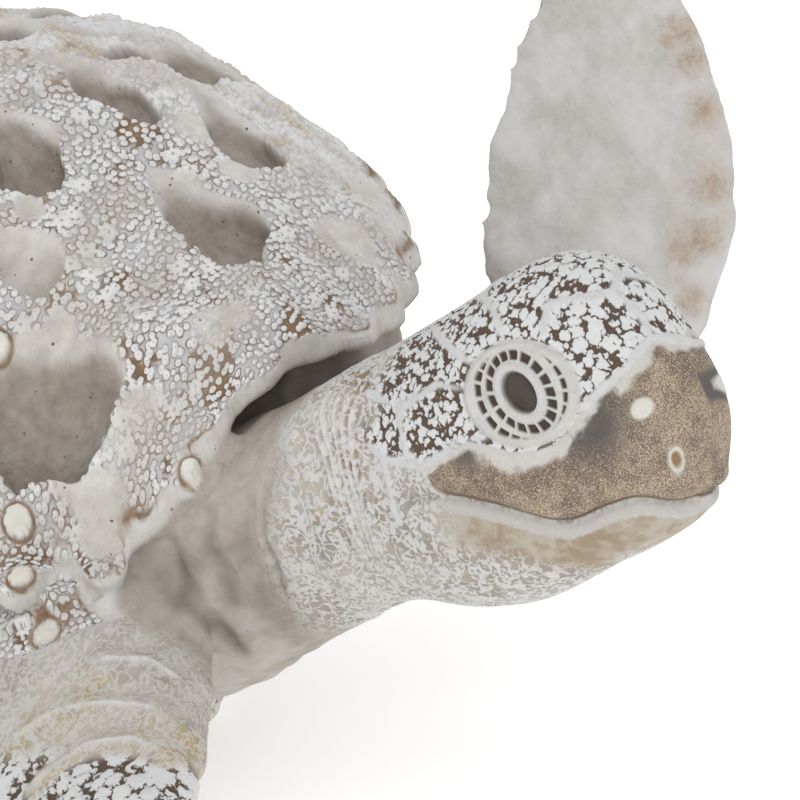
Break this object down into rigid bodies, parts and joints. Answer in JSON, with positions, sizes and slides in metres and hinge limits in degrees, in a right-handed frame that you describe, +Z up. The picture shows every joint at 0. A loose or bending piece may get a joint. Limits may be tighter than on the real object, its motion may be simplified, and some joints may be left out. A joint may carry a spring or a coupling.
{
  "type": "sea turtle statue",
  "caption": "Whitewashed cast resin sea turtle with a coral-grown shell, swimming with one front flipper raised, on a low rough rock base.",
  "frame": {"origin": "on the floor, under the middle of the statue's bounding box", "axes": "+Z up, the turtle heads towards -Y, its left side is +X"},
  "size_m": [0.2656, 0.3654, 0.1893],
  "materials": {
    "whitewashed_resin": "matte whitewash rubbed over brown, textured casting"
  },
  "bodies": {
    "root": {"turtle_statue": "whitewashed_resin"}
  },
  "joints": []
}
